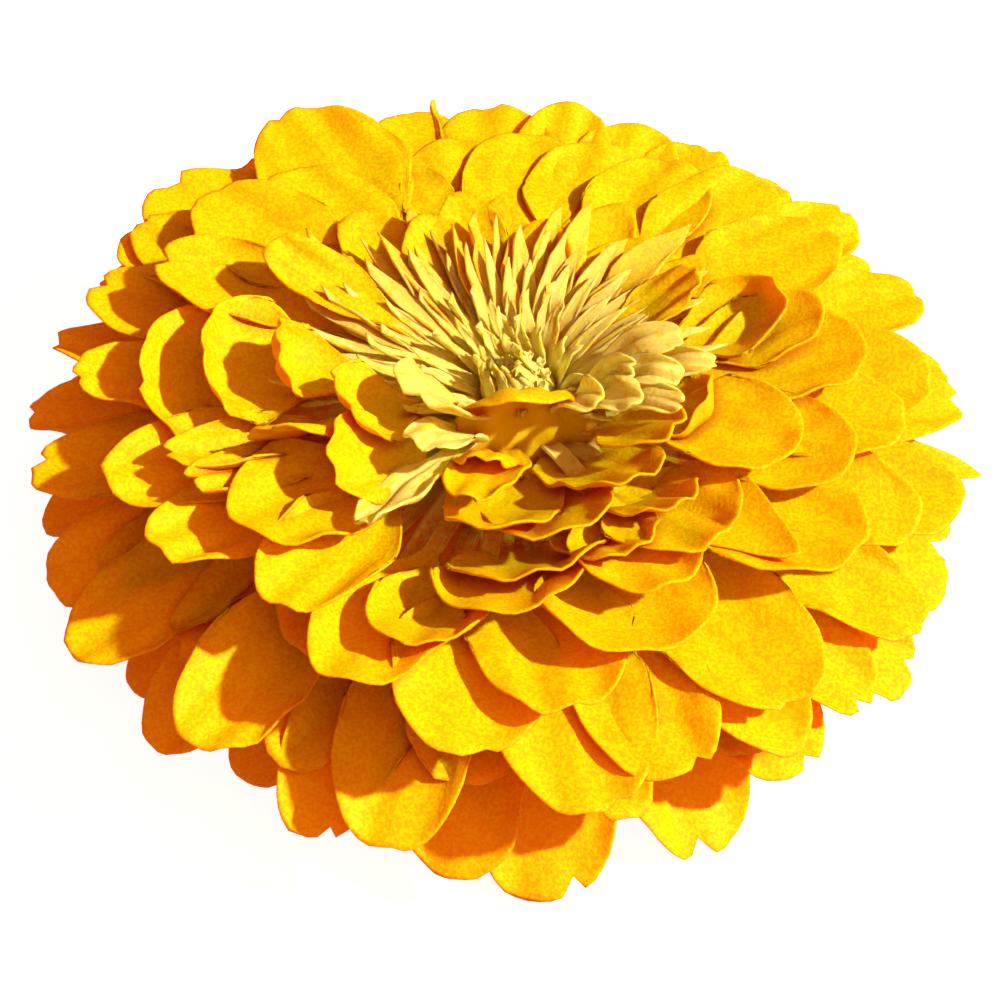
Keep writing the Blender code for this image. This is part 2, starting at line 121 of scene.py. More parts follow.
Petal = namedtuple(
    "Petal",
    "azimuth latitude width cup pitch yaw twist out lift taper notch curl rise low early crumple pale",
    defaults=(14.0, 50.0, 0.0, 0.0, 0.0, 0.0, 0.0, 0.0, 0.0, 0.0, 0.0, 0.0, 0.0, 0.0, 0.0),
)

# The florets in front and at the sides whose tips hang below the widest ring
SKIRT = (
    Petal(186, 1.50, 12), Petal(200, 1.25, 14, cup=30), Petal(211, 1.10, 15, cup=40, out=1),
    Petal(214, 1.75, 13, out=-3), Petal(224, 1.45, 13), Petal(236, 1.72, 12, out=-4),
    Petal(247, 1.40, 15, cup=70), Petal(257, 1.20, 17, cup=75), Petal(265, 1.65, 16),
    Petal(276, 2.15, 18, out=2, lift=1, notch=1), Petal(297, 2.05, 17, out=1, notch=1),
    Petal(308, 1.30, 15), Petal(326, 1.30, 15, out=1), Petal(338, 1.20, 15),
    Petal(344, 1.30, 10, taper=0.6), Petal(350, 1.40, 9, out=-1), Petal(356, 1.15, 12, cup=80, out=2, taper=0.8),
)

# The florets that reach the widest ring
RING = (
    Petal(233, 0.95, 15, cup=80), Petal(188, 0.92, 12), Petal(175, 1.00, 13, cup=70, out=1),
    Petal(165, 0.92, 10), Petal(167, 1.25, 9, out=-1), Petal(153, 0.95, 11, out=-1),
    Petal(161, 0.75, 13, cup=100, pitch=5), Petal(178, 0.68, 12, pitch=10),
    Petal(150, 0.80, 13, cup=80), Petal(130, 0.90, 10, out=-2), Petal(266, 0.72, 18, cup=45),
    Petal(281, 0.90, 18, cup=40), Petal(291, 0.85, 16, cup=40, crumple=0.3), Petal(306, 0.95, 14),
    Petal(309, 0.80, 17, cup=40), Petal(318, 1.00, 14), Petal(328, 0.95, 14),
    Petal(346, 0.90, 15), Petal(5, 0.95, 13), Petal(2, 0.70, 17), Petal(20, 0.85, 14),
    Petal(13, 1.08, 12), Petal(38, 0.90, 14), Petal(46, 0.95, 12, out=-2),
    Petal(30, 1.00, 12, out=-1),
)

# The florets along the back, where the dome is lower
BACK_RIM = (
    Petal(140, 0.82, 20, cup=30, out=2), Petal(120, 0.78, 18, cup=20, out=1, lift=1, pitch=-6),
    Petal(111, 0.80, 12, cup=20, lift=-3), Petal(103, 0.75, 15, cup=20, lift=-4, pitch=-8),
    Petal(100, 0.84, 4, twist=70, lift=-2), Petal(91, 0.76, 17, cup=20, lift=-4, pitch=-8),
    Petal(79, 0.76, 14, cup=40, lift=-3, pitch=-4), Petal(69, 0.77, 15, cup=20, lift=-4, pitch=-6),
    Petal(60, 0.80, 15, cup=20, lift=-4, pitch=-6), Petal(50, 0.85, 15, cup=30, lift=-4),
    Petal(128, 0.80, 12, lift=-3), Petal(149, 0.75, 12),
)

# The florets on the dome's shoulder
SHOULDER = (
    Petal(293, 0.55, 21, cup=60, pitch=10, low=0.5), Petal(279, 0.62, 18, cup=35, low=0.4),
    Petal(249, 0.60, 17, cup=45, pitch=8, low=0.4), Petal(257, 0.50, 15, cup=80, pitch=18, rise=-20, low=0.5),
    Petal(222, 0.44, 18, cup=50), Petal(235, 0.52, 14, cup=60),
    Petal(214, 0.59, 13, cup=50), Petal(200, 0.61, 14, cup=60), Petal(202, 0.48, 9, cup=110, pitch=12),
    Petal(208, 0.46, 8, cup=60, pitch=10), Petal(326, 0.62, 19, cup=40), Petal(350, 0.62, 15, pitch=-12),
    Petal(337, 0.72, 15, pitch=-8), Petal(341, 0.52, 14), Petal(182, 0.50, 24, cup=80, pitch=50),
    Petal(319, 0.53, 17, cup=110, taper=1), Petal(3, 0.52, 17, cup=60, pitch=-5),
    Petal(10, 0.45, 10, cup=60, pitch=20, crumple=0.6), Petal(30, 0.60, 15, cup=30, lift=-1, pitch=-16),
    Petal(45, 0.62, 15, cup=30, lift=-3, pitch=-18), Petal(58, 0.55, 15, cup=20, lift=-5, pitch=-20),
    Petal(72, 0.55, 15, cup=20, lift=-6, pitch=-20), Petal(86, 0.54, 15, cup=20, lift=-6, pitch=-20),
    Petal(99, 0.52, 15, cup=20, lift=-6, pitch=-20), Petal(113, 0.52, 15, cup=20, lift=-6, pitch=-20),
    Petal(128, 0.55, 15, cup=20, lift=-4, pitch=-16), Petal(142, 0.60, 15, cup=40, lift=-1, pitch=-8),
    Petal(158, 0.55, 14, cup=80),
)

# The florets round the middle: curled, rolled and twisted ones at the left and in front
INNER = (
    Petal(269, 0.29, 13, cup=50, pitch=20, rise=-45, low=0.2, early=0.35),
    Petal(284, 0.31, 15, cup=60, pitch=18, rise=-45, low=0.2, early=0.35),
    Petal(277, 0.37, 18, cup=60, pitch=20, rise=-40, low=0.7),
    Petal(273, 0.43, 18, cup=60, pitch=16, rise=-35, low=0.7),
    Petal(308, 0.27, 12, cup=50, pitch=15, rise=-40, low=0.2, early=0.35),
    Petal(310, 0.34, 12, cup=50, pitch=15, rise=-30, low=0.6),
    Petal(296, 0.37, 12, cup=60, pitch=14, rise=-35, low=0.6), Petal(312, 0.42, 17, cup=60, pitch=12, rise=-15),
    Petal(300, 0.45, 15, cup=60, pitch=10), Petal(180, 0.38, 20, cup=60, pitch=50),
    Petal(183, 0.30, 12, cup=90, pitch=50, curl=40), Petal(206, 0.33, 11, cup=-60, twist=65, crumple=0.5),
    Petal(226, 0.28, 12, cup=40, pitch=15, twist=-40), Petal(208, 0.20, 13, cup=60, pitch=40),
    Petal(226, 0.13, 12, cup=60, pitch=-5, rise=-20, early=0.15, crumple=0.6, pale=0.7),
    Petal(245, 0.19, 8, cup=40, pitch=-25, rise=-30, early=0.1, crumple=1, pale=1),
    Petal(242, 0.33, 7, twist=30, crumple=1, pale=1), Petal(262, 0.25, 8, cup=40, pitch=-5, rise=-35, early=0.3),
    Petal(238, 0.50, 16, cup=30, pitch=-10, rise=-25, lift=-9, low=0.6, early=0.35),
    Petal(292, 0.10, 17, cup=-50, pitch=30, twist=-20, out=-6, lift=2, curl=-80, rise=-60, low=0.9, early=0.45,
          crumple=0.7),
    Petal(263, 0.17, 8, cup=-90, pitch=-20, rise=5, lift=-2, low=0.9, early=0.35, crumple=0.4),
    Petal(316, 0.15, 5, cup=40, pitch=-30, rise=-15, early=0.15, crumple=0.6, pale=1),
    Petal(326, 0.19, 4.5, cup=60, pitch=-40, rise=-15, twist=20, crumple=0.8, pale=1),
    Petal(333, 0.24, 4, cup=40, pitch=-35, rise=-15, twist=25, crumple=0.6, pale=1),
    Petal(338, 0.16, 4, cup=40, pitch=-30, rise=-15, twist=30, crumple=0.6, pale=1),
    Petal(341, 0.31, 12, cup=140, pitch=30, lift=-3, curl=60), Petal(337, 0.42, 15, cup=70, pitch=-8, crumple=0.5),
    Petal(325, 0.25, 10, cup=60, low=0.4), Petal(342, 0.22, 4.5, cup=60, pitch=-40, twist=20, crumple=0.8, pale=1),
    Petal(14, 0.38, 12, cup=80, pitch=45), Petal(22, 0.26, 7, cup=60, pitch=10), Petal(150, 0.34, 8, cup=60),
    Petal(350, 0.26, 4, cup=50, pitch=-35, twist=20, crumple=0.6, pale=0.9),
    Petal(357, 0.21, 4.5, cup=50, pitch=-35, twist=25, crumple=0.8, pale=0.9),
    Petal(40, 0.62, 15, cup=20, pitch=-20, lift=-8, low=0.3, early=0.3),
)

# The lower florets at the back and under the sides, the small yellow ones and the narrow pale
# ones at the back of the middle, placed by rule
Row = namedtuple("Row", "latitude widening out lift first last count width taper pale")
UNDER_ROWS = (
    Row(0.70, 0.0, 0, -11, 0, 360, 17, 13, 0.0, 0.0),
    Row(1.40, 0.0, -3, -1, 22, 150, 7, 14, 0.0, 0.0),
    Row(1.65, 0.0, -3, 0, 20, 155, 6, 14, 0.0, 0.0),
    Row(1.90, 0.0, -4, 0, 20, 180, 6, 14, 0.0, 0.0),
)
CLAW_ROWS = (
    Row(0.27, 0.10, 0, -5, 30, 145, 9, 9.0, 0.2, 0.0),
    Row(0.23, 0.12, 0, -4, 25, 155, 12, 5.0, 0.7, 0.2),
    Row(0.19, 0.10, 0, -4, 15, 165, 19, 3.4, 0.8, 0.6),
    Row(0.14, 0.12, 0, -4, -10, 190, 22, 2.6, 0.9, 0.9),
    Row(0.09, 0.08, 0, -5, -40, 220, 22, 1.9, 0.8, 0.9),
    Row(0.06, 0.03, 0, -6, 0, 360, 18, 1.6, 0.6, 1.0),
    Row(0.02, 0.0, 0, -5, 0, 360, 12, 1.4, 0.6, 1.0),
)
ROW_SPREAD = 0.2
CLAW_TURN = 35.0
CLAW_PITCH = -15.0
CLAW_TILT = 22.0
SEED = 7


def by_latitude(latitude, table):
    """The value of a table of (latitude, value) pairs at one latitude."""
    return float(np.interp(latitude, [row[0] for row in table], [row[1] for row in table]))


def smooth(low, high, value):
    """0 below low, 1 above high, and an even ramp between, for a number or an array."""
    share = np.clip((value - low) / (high - low), 0.0, 1.0)
    return share * share * (3.0 - 2.0 * share)


def direction(azimuth, pitch=0.0):
    """The unit vector at an azimuth and a pitch in degrees, or one for each number of an array."""
    a, p = np.radians(azimuth), np.radians(pitch)
    return np.stack([np.cos(a) * np.cos(p), np.sin(a) * np.cos(p), np.sin(p) + 0.0 * a], axis=-1)


def unit(vectors):
    """Vectors scaled to length 1."""
    return vectors / np.maximum(np.linalg.norm(vectors, axis=-1, keepdims=True), 1e-12)


def envelope(latitude):
    """The head's radius and height at a latitude."""
    if latitude <= 1.0:
        angle = latitude * math.pi / 2.0
        radius = RING_RADIUS * math.sin(angle) ** (2.0 / DOME_POWER)
        return radius, RING_HEIGHT + DOME_RISE * math.cos(angle) ** (2.0 / DOME_POWER)
    below = latitude - 1.0
    return RING_RADIUS - SKIRT_TUCK * below * below, RING_HEIGHT - SKIRT_DROP * below


def lean(height):
    """How far the middle of the receptacle lies to the right at a height."""
    low, high = CONE_PROFILE[0][1], CONE_PROFILE[-1][1]
    return CROWN_SHIFT * min(1.0, max(0.0, (height - low) / (high - low))) ** 2


def nod(points):
    """Tip points of the upright head towards the front."""
    a = math.radians(NOD_ANGLE)
    y, z = points[..., 1], points[..., 2] - NECK_HEIGHT
    return np.stack([points[..., 0], y * math.cos(a) - z * math.sin(a),
                     NECK_HEIGHT + y * math.sin(a) + z * math.cos(a)], axis=-1)


def centreline(petal):
    """The middle of a floret from the cone to its tip: places, and the axes ahead, to the left and up."""
    radius, height = envelope(petal.latitude)
    root_latitude = petal.latitude + petal.low
    root = direction(petal.azimuth) * by_latitude(root_latitude, ROOT_RADIUS)
    root[2] = by_latitude(root_latitude, ROOT_HEIGHT)
    root[0] += lean(root[2])
    tip = direction(petal.azimuth) * (radius + petal.out * MM)
    tip[2] = height + petal.lift * MM
    chord = np.linalg.norm(tip - root)
    leave = direction(petal.azimuth, by_latitude(petal.latitude, ROOT_RISE) + petal.rise) * chord
    pitch = by_latitude(petal.latitude, TIP_PITCH) + petal.pitch
    arrive = direction(petal.azimuth + petal.yaw, pitch) * chord
    t = np.linspace(0.0, 1.0, LINE_STEPS)[:, None]
    places = ((2 * t**3 - 3 * t**2 + 1) * root + (t**3 - 2 * t**2 + t) * leave
              + (3 * t**2 - 2 * t**3) * tip + (t**3 - t**2) * arrive)
    ahead = unit(6 * (t * t - t) * (root - tip) + (3 * t * t - 4 * t + 1) * leave
                 + (3 * t * t - 2 * t) * arrive)
    left = direction(petal.azimuth + petal.yaw * smooth(0.0, 1.0, t[:, 0]) + 90.0)
    left = unit(left - ahead * np.sum(left * ahead, axis=-1, keepdims=True))
    up = np.cross(ahead, left)
    if petal.curl:
        places, ahead, up = curl_up(places, ahead, up, t, petal.curl)
    turn = np.radians(petal.twist) * smooth(0.15, 1.0, t)
    left, up = left * np.cos(turn) + up * np.sin(turn), up * np.cos(turn) - left * np.sin(turn)
    return places, ahead, left, up


def curl_up(places, ahead, up, t, degrees):
    """Bend the outer part of a centreline upwards by some more degrees."""
    turn = np.radians(degrees) * smooth(CURL_START, 1.0, t)
    ahead, up = ahead * np.cos(turn) + up * np.sin(turn), up * np.cos(turn) - ahead * np.sin(turn)
    lengths = np.linalg.norm(np.diff(places, axis=0), axis=-1, keepdims=True)
    steps = unit(ahead[:-1] + ahead[1:]) * lengths
    curled = places[:1] + np.concatenate([np.zeros((1, 3)), np.cumsum(steps, axis=0)])
    return curled, ahead, up


def at(along, values):
    """Rows of a centreline read at shares of its length."""
    stations = np.linspace(0.0, 1.0, len(values))
    return np.stack([np.interp(along, stations, values[:, k]) for k in range(values.shape[1])], axis=-1)


def half_width(along, petal, draw):
    """Half of a blade's width at shares of its length, with an uneven edge."""
    width = petal.width * MM
    claw = min(1.0, CLAW_WIDTH / width)
    body = claw + (1.0 - claw) * smooth(CLAW_END - petal.early, SHOULDER_END - petal.early, along)
    uneven = 1.0 + RAGGED_SIDE * np.sin(draw.uniform(0.0, 6.3) + draw.uniform(8.0, 14.0) * along)
    return width / 2.0 * body * uneven


def reach(across, petal, draw):
    """How far a blade reaches along at each place across: a round or pointed end, notched and uneven."""
    side = np.abs(across)
    rounded = END_SHARE * (1.0 - np.sqrt(np.maximum(0.0, 1.0 - side**END_POWER)))
    pointed = (END_SHARE + TAPER_SHARE) * side**1.4
    ends = 1.0 - (1.0 - petal.taper) * rounded - petal.taper * pointed
    notch_place = draw.uniform(-0.3, 0.3)
    depth = petal.notch * 0.05 + draw.choice((0.0, 0.0, 0.02, 0.035))
    ends -= depth * np.exp(-((across - notch_place) / 0.09) ** 2)
    for waves in (3.0, 7.0, 13.0):
        ends += RAGGED_END / math.sqrt(waves) * np.sin(waves * across + draw.uniform(0.0, 6.3))
    return ends


def section(across, petal):
    """A blade's bent section: how far it goes sideways and up, as shares of its half width."""
    fine = np.linspace(-1.0, 1.0, 2 * SECTION_STEPS + 1)
    angle = math.radians(petal.cup) / 2.0 * fine
    middle = (angle[1:] + angle[:-1]) / 2.0
    step = fine[1] - fine[0]
    sideways = np.concatenate([[0.0], np.cumsum(np.cos(middle) * step)])
    upward = np.concatenate([[0.0], np.cumsum(np.sin(middle) * step)])
    sideways -= sideways[SECTION_STEPS]
    upward -= upward[SECTION_STEPS]
    return np.interp(across, fine, sideways), np.interp(across, fine, upward)


def ripples(x, y, draw, length, count=5):
    """A smooth uneven surface from -1 to 1, as a sum of waves of about one length."""
    total = np.zeros_like(x)
    for _ in range(count):
        heading = draw.uniform(0.0, 2.0 * math.pi)
        wave = 2.0 * math.pi / (length * draw.uniform(0.7, 1.5))
        total += np.sin(wave * (x * math.cos(heading) + y * math.sin(heading)) + draw.uniform(0.0, 6.3))
    return total / count


def relief(along, across, petal, length, draw):
    """The heights of a blade's grooves, ridges, waves and creases above its smooth surface."""
    blade = smooth(CLAW_END - petal.early, SHOULDER_END - petal.early, along)
    edge = np.abs(across)
    height = np.zeros_like(along)
    for place in (-GROOVE_PLACE, GROOVE_PLACE):
        shift = place + draw.uniform(-0.08, 0.08)
        height -= draw.uniform(0.3, 1.0) * GROOVE_DEPTH * np.exp(-((across - shift) / GROOVE_WIDTH) ** 2) * blade
    height += RIDGE_HEIGHT * np.cos(2.0 * math.pi * RIDGES_ACROSS * across) * blade
    waves = draw.uniform(0.8, 1.5) * length / (10.0 * MM)
    for sign in (-1.0, 1.0):
        phase = draw.uniform(0.0, 6.3)
        lift = draw.uniform(0.4, 1.0) * WAVE_HEIGHT * np.sin(2.0 * math.pi * waves * along + phase)
        height += lift * smooth(0.35, 1.0, sign * across) * blade
    ruffles = draw.uniform(0.9, 1.8)
    height += RUFFLE_HEIGHT * smooth(0.7, 1.0, along + 0.2 * edge) * np.sin(
        2.0 * math.pi * ruffles * across + draw.uniform(0.0, 6.3))
    x, y = along * length, across * petal.width * MM / 2.0
    height += 0.25 * MM * blade * ripples(x, y, draw, 9.0 * MM)
    if petal.crumple:
        height += CRUMPLE_HEIGHT * petal.crumple * blade * ripples(x * 0.4, y, draw, 3.2 * MM, count=7)
    return height


def surface_normals(points):
    """The upward normals of a grid of points."""
    ahead = np.gradient(points, axis=0)
    left = np.gradient(points, axis=1)
    return unit(np.cross(ahead, left))


def blade_grid(petal, grid, draw):
    """The middle surface of one blade as a grid of points, with the shares along and across."""
    rows, columns = grid
    u = 1.0 - (1.0 - np.linspace(0.0, 1.0, rows)) ** 1.25
    v = np.sin(np.linspace(-1.0, 1.0, columns) * math.pi / 2.0)
    across = np.repeat(v[None, :], rows, axis=0)
    along = u[:, None] * reach(v, petal, draw)[None, :]
    places, ahead, left, up = centreline(petal)
    length = np.linalg.norm(np.diff(places, axis=0), axis=-1).sum()
    sideways, upward = section(across, petal)
    half = half_width(along, petal, draw)[..., None]
    flat = at(along, places) + at(along, left) * half * sideways[..., None] + at(along, up) * half * upward[..., None]
    height = relief(along, across, petal, length, draw)
    return flat + surface_normals(flat) * height[..., None], along, across


def thick_sheet(middle, thickness, rim_thickness):
    """The upper and lower points of a sheet about a middle surface, thinner at its rim."""
    rim = np.ones(middle.shape[:2])
    rim[-1, :] = rim[:, 0] = rim[:, -1] = 0.0
    half = (rim_thickness + (thickness - rim_thickness) * rim)[..., None] / 2.0
    normals = surface_normals(middle)
    return np.concatenate([(middle + normals * half).reshape(-1, 3), (middle - normals * half).reshape(-1, 3)])


def blade_part(petal, grid, draw):
    """One blade as a thin closed sheet: points, faces and the values that its material reads."""
    middle, along, across = blade_grid(petal, grid, draw)
    points = nod(thick_sheet(middle, BLADE_THICKNESS, RIM_THICKNESS))
    values = even(points, tone=draw.random(), pale=petal.pale)
    values["along"] = np.tile((along + petal.early).ravel(), 2)
    values["across"] = np.tile(across.ravel(), 2)
    values["reverse"] = np.repeat([0.0, 1.0], along.size)
    return points, sheet_faces(*grid), values


def joined_piece(name, parts, material):
    """One mesh object of several parts, each given as points, faces and named values."""
    starts = np.cumsum([0] + [len(part[0]) for part in parts[:-1]])
    points = np.concatenate([part[0] for part in parts])
    faces = [[corner + start for corner in face] for part, start in zip(parts, starts.tolist())
             for face in part[1]]
    mesh = bpy.data.meshes.new(name)
    mesh.from_pydata(points.tolist(), [], faces)
    for key in parts[0][2]:
        values = np.concatenate([part[2][key] for part in parts]).astype(np.float32)
        mesh.attributes.new(key, "FLOAT", "POINT").data.foreach_set("value", values)
    mesh.shade_smooth()
    mesh.materials.append(material)
    piece = bpy.data.objects.new(name, mesh)
    bpy.context.scene.collection.objects.link(piece)
    return piece


def dressed(piece, node):
    """Mount a piece on the head in the place of a solid, and hide that solid."""
    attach(piece, "root")
    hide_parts(node)
    return piece


def even(points, **values):
    """Named values that are the same at every point of a part."""
    return {key: np.full(len(points), value) for key, value in values.items()}


def sheet_faces(rows, columns):
    """The faces of a closed thin sheet of two grids of points: upper ones, lower ones and its walls."""
    under = rows * columns
    corner = (np.arange(rows - 1)[:, None] * columns + np.arange(columns - 1)[None, :]).ravel()
    quads = np.stack([corner, corner + columns, corner + columns + 1, corner + 1], axis=-1)
    border = np.concatenate([np.arange(columns), np.arange(1, rows) * columns + columns - 1,
                             (rows - 1) * columns + np.arange(columns - 2, -1, -1),
                             np.arange(rows - 2, 0, -1) * columns])
    after = np.roll(border, -1)
    walls = np.stack([border, after, after + under, border + under], axis=-1)
    return np.concatenate([quads, quads[:, ::-1] + under, walls]).tolist()


def varied(petal, draw):
    """A petal with the small differences that grown ones have."""
    return petal._replace(
        azimuth=petal.azimuth + draw.uniform(-1.0, 1.0),
        cup=petal.cup + draw.uniform(-12.0, 12.0),
        twist=petal.twist + draw.uniform(-9.0, 9.0),
        pitch=petal.pitch + draw.uniform(-5.0, 5.0),
    )


def row_petals(rows, draw):
    """The florets that are placed by rule."""
    petals = []
    for row in rows:
        for k in range(row.count):
            azimuth = row.first + (row.last - row.first) * (k + 0.5) / row.count + draw.uniform(-2.0, 2.0)
            side = math.cos(math.radians(azimuth)) ** 2
            latitude = row.latitude * draw.uniform(1.0 - ROW_SPREAD, 1.0 + ROW_SPREAD) + row.widening * side
            width = row.width * draw.uniform(0.8, 1.25)
            lift = row.lift + draw.uniform(-1.0, 1.0)
            petal = Petal(azimuth, latitude, width, out=row.out, lift=lift, taper=row.taper, pale=row.pale)
            if row.pale:
                turn = CLAW_TURN * math.sin(math.radians(azimuth)) + draw.uniform(-CLAW_TURN, CLAW_TURN)
                tilt = CLAW_PITCH - CLAW_TILT * math.cos(math.radians(azimuth))
                petal = petal._replace(twist=turn, pitch=tilt)
            petals.append(petal)
    return petals


def colour(red, green, blue):
    """A linear colour with full alpha from display values of 0 to 255."""
    return tuple(((c / 255.0 + 0.055) / 1.055) ** 2.4 if c > 10 else c / 3294.6 for c in (red, green, blue)) + (1.0,)


class Graph:
    """Short names for the nodes of one material."""

    def __init__(self, name):
        self.material = bpy.data.materials.new(name)
        self.material.use_nodes = True
        self.tree = self.material.node_tree
        self.tree.nodes.clear()

    def add(self, kind, inputs=(), **settings):
        """A node with its settings, and its inputs set to values or linked to sockets."""
        node = self.tree.nodes.new(kind)
        for key, value in settings.items():
            setattr(node, key, value)
        for key, value in dict(inputs).items():
            if isinstance(value, bpy.types.NodeSocket):
                self.tree.links.new(value, node.inputs[key])
            else:
                node.inputs[key].default_value = value
        return node

    def attribute(self, name):
        return self.add("ShaderNodeAttribute", attribute_name=name).outputs["Fac"]

    def noise(self, scale, detail=3.0, roughness=0.6):
        place = self.add("ShaderNodeTexCoord").outputs["Object"]
        return self.add("ShaderNodeTexNoise", {"Vector": place, "Scale": scale, "Detail": detail,
                                               "Roughness": roughness}).outputs["Fac"]

    def fibres(self, across_scale, along_scale):
        """Noise drawn out along each blade, different on every one."""
        place = self.add("ShaderNodeCombineXYZ", {
            "X": self.math("MULTIPLY", self.attribute("across"), across_scale),
            "Y": self.math("MULTIPLY", self.attribute("along"), along_scale),
            "Z": self.math("MULTIPLY", self.attribute("tone"), 90.0)}).outputs[0]
        return self.add("ShaderNodeTexNoise", {"Vector": place, "Scale": 1.0, "Detail": 2.0}).outputs["Fac"]

    def math(self, operation, a, b=0.0):
        return self.add("ShaderNodeMath", {0: a, 1: b}, operation=operation).outputs[0]

    def ramp(self, value, low, high):
        """An even change from 0 at low to 1 at high."""
        return self.add("ShaderNodeMapRange", {"Value": value, "From Min": low, "From Max": high},
                        interpolation_type="SMOOTHSTEP").outputs["Result"]

    def mix(self, share, first, second):
        node = self.add("ShaderNodeMix", data_type="RGBA")
        for socket, value in ((node.inputs[0], share), (node.inputs[6], first), (node.inputs[7], second)):
            if isinstance(value, bpy.types.NodeSocket):
                self.tree.links.new(value, socket)
            else:
                socket.default_value = value
        return node.outputs[2]

    def finish(self, shader):
        output = self.add("ShaderNodeOutputMaterial")
        self.tree.links.new(shader, output.inputs["Surface"])
        return self.material


BLADE_YELLOW = colour(246, 246, 0)
BLADE_ORANGE = colour(240, 209, 0)
CLAW_CREAM = colour(250, 253, 150)
CLAW_AMBER = colour(246, 226, 15)
REVERSE_YELLOW = colour(246, 216, 20)
# Painted shade: the dark red laid over the blades where they crowd together, and how far the occlusion that places it
# reaches
PAINTED_SHADE_RED = colour(170, 40, 20)
LIGHT_THROUGH = colour(250, 150, 50)
PALE_LIGHT_THROUGH = colour(250, 255, 120)
THROUGH_SHARE = 0.5
PAINTED_SHADE_REACH = 1.6 * MM
BRACT_GREEN = colour(96, 122, 58)
BRACT_PALE = colour(160, 172, 112)
BRACT_EDGE = colour(58, 44, 34)
FLORET_GREEN = colour(196, 190, 110)
FLORET_YELLOW = colour(240, 226, 120)
FLOOR_COLOUR = (0.7, 0.7, 0.7, 1.0)
FLOOR_GLOW = (0.88, 0.88, 0.88, 1.0)


def petal_material():
    """Satin yellow with an orange mottle, cream at the claw and paler on the reverse, with painted shade in dark red
    where blades crowd together, less of it on pale parts.
    """
    graph = Graph("petal")
    along = graph.attribute("along")
    grain = graph.noise(2400.0, detail=1.0)
    mottle = graph.noise(700.0, detail=2.0, roughness=0.7)
    streaks = graph.fibres(9.0, 3.0)
    orange = graph.math("ADD", graph.ramp(mottle, 0.5, 0.8), graph.ramp(grain, 0.4, 0.62))
    face = graph.mix(graph.math("MULTIPLY", orange, 0.9), BLADE_YELLOW, BLADE_ORANGE)
    face = graph.mix(graph.math("MULTIPLY", graph.attribute("reverse"), 0.7), face, REVERSE_YELLOW)
    uneven = graph.math("ADD", along, graph.math("MULTIPLY", graph.math("SUBTRACT", mottle, 0.5), 0.5))
    uneven = graph.math("ADD", uneven, graph.math("MULTIPLY", graph.math("SUBTRACT", streaks, 0.5), 0.35))
    claw = graph.math("SUBTRACT", 1.0, graph.ramp(uneven, 0.22, 0.46))
    pale = graph.math("MAXIMUM", claw, graph.math("MULTIPLY", graph.attribute("pale"), graph.ramp(mottle, 0.2, 0.5)))
    cream = graph.mix(graph.ramp(streaks, 0.5, 0.72), CLAW_CREAM, CLAW_AMBER)
    tint = graph.mix(pale, face, cream)
    # Painted shade: ambient occlusion darkens the colour towards dark red in the gaps between blades, a quarter less
    # on pale parts
    occlusion = graph.add("ShaderNodeAmbientOcclusion", {"Distance": PAINTED_SHADE_REACH}, samples=1).outputs["AO"]
    painted_shade_limit = graph.math("SUBTRACT", 1.0, graph.math("MULTIPLY", pale, 0.25))
    painted_shade_share = graph.math("MULTIPLY", graph.ramp(occlusion, 0.6, 0.12), painted_shade_limit)
    tint = graph.mix(painted_shade_share, tint, PAINTED_SHADE_RED)
    height = graph.math("ADD", grain, graph.math("MULTIPLY", streaks, 0.8))
    bump = graph.add("ShaderNodeBump", {"Strength": 0.5, "Distance": 0.00012, "Height": height})
    skin = graph.add("ShaderNodeBsdfPrincipled", {"Base Color": tint, "Roughness": 0.62,
                                                  "Specular IOR Level": 0.15, "Normal": bump.outputs[0]})
    glow = graph.mix(pale, LIGHT_THROUGH, PALE_LIGHT_THROUGH)
    through = graph.add("ShaderNodeBsdfTranslucent", {"Color": glow, "Normal": bump.outputs[0]})
    both = graph.add("ShaderNodeMixShader", {0: THROUGH_SHARE, 1: skin.outputs[0], 2: through.outputs[0]})
    return graph.finish(both.outputs[0])


def bract_material():
    """Matt grey-green with fine streaks and a dark thin edge."""
    graph = Graph("bract")
    mottle = graph.noise(900.0, detail=4.0)
    streaks = graph.ramp(graph.math("SINE", graph.math("MULTIPLY", graph.attribute("across"), 24.0)), -1.0, 1.0)
    leaf = graph.mix(graph.math("MULTIPLY", graph.math("ADD", mottle, streaks), 0.5), BRACT_GREEN, BRACT_PALE)
    tint = graph.mix(graph.ramp(graph.attribute("edge"), 0.55, 0.85), leaf, BRACT_EDGE)
    bump = graph.add("ShaderNodeBump", {"Strength": 0.4, "Distance": 0.00015, "Height": streaks})
    shader = graph.add("ShaderNodeBsdfPrincipled", {"Base Color": tint, "Roughness": 0.7, "Normal": bump.outputs[0]})
    return graph.finish(shader.outputs[0])


def floret_material():
    """Matt pale yellow, greener at the base."""
    graph = Graph("floret")
    mottle = graph.noise(2500.0)
    share = graph.math("MULTIPLY", graph.ramp(mottle, 0.3, 0.7), graph.attribute("along"))
    tint = graph.mix(share, FLORET_GREEN, FLORET_YELLOW)
    bump = graph.add("ShaderNodeBump", {"Strength": 0.3, "Distance": 0.0001, "Height": mottle})
    shader = graph.add("ShaderNodeBsdfPrincipled", {"Base Color": tint, "Roughness": 0.7, "Normal": bump.outputs[0]})
    return graph.finish(shader.outputs[0])


def floor_material():
    """Plain pale matt floor with a faint glow of its own, so that the shadow on it stays pale."""
    graph = Graph("floor")
    shader = graph.add("ShaderNodeBsdfPrincipled", {
        "Base Color": FLOOR_COLOUR, "Roughness": 0.9, "Emission Color": FLOOR_GLOW, "Emission Strength": 1.0})
    return graph.finish(shader.outputs[0])


